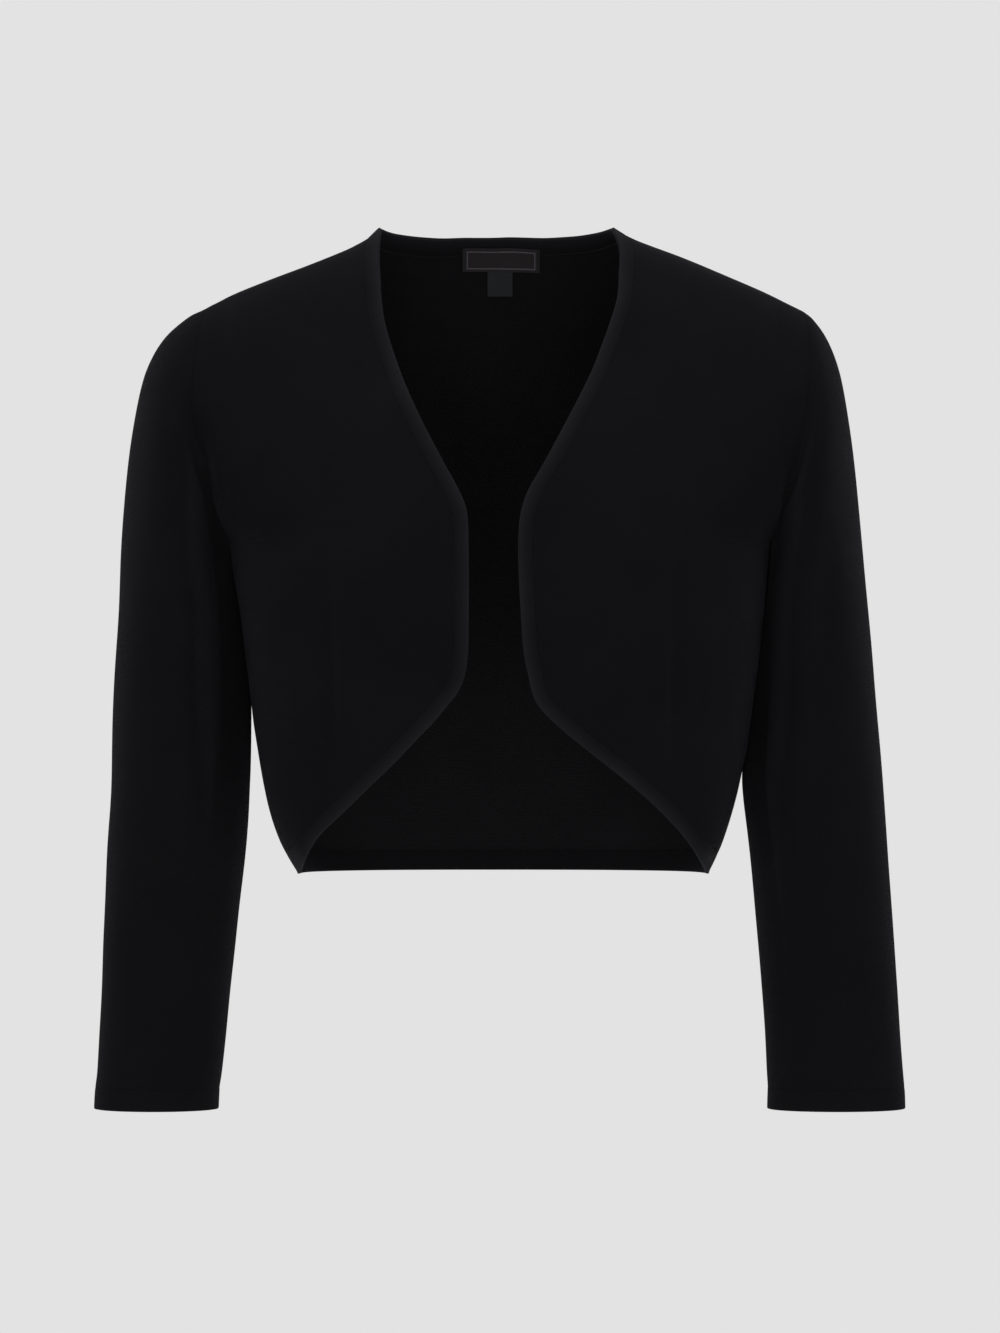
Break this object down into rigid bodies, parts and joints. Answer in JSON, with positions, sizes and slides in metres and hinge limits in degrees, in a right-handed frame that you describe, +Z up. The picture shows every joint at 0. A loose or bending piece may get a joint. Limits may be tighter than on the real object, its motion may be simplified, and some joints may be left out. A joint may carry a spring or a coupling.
{
  "type": "knitted shrug",
  "caption": "Short open-front knitted shrug with a cutaway front, narrow doubled edges and long slim sleeves, kept hollow in its worn form.",
  "frame": {"origin": "midway between the two side neck points, at their height, where the wearer's shoulders carry the garment", "axes": "+Z up along the body, +X to the wearer's left, -Y out of the open front"},
  "size_m": [0.5098, 0.2213, 0.5574],
  "materials": {
    "fine_knit": "fine plain knit, soft, with a faint grey bloom at grazing edges",
    "doubled_knit_edge": "doubled fine knit, linked edge with a soft roll",
    "woven_label": "close dark woven label, slight sheen, plain frame line",
    "satin_tag": "dark satin tag, bare"
  },
  "bodies": {
    "root": {"back": "fine_knit", "front_left": "fine_knit", "front_right": "fine_knit", "sleeve_left": "fine_knit", "sleeve_right": "fine_knit", "front_band_left": "doubled_knit_edge", "front_band_right": "doubled_knit_edge", "neck_band": "doubled_knit_edge", "hem_band": "doubled_knit_edge", "cuff_band_left": "doubled_knit_edge", "cuff_band_right": "doubled_knit_edge", "neck_label": "woven_label", "care_tag": "satin_tag"}
  },
  "joints": []
}
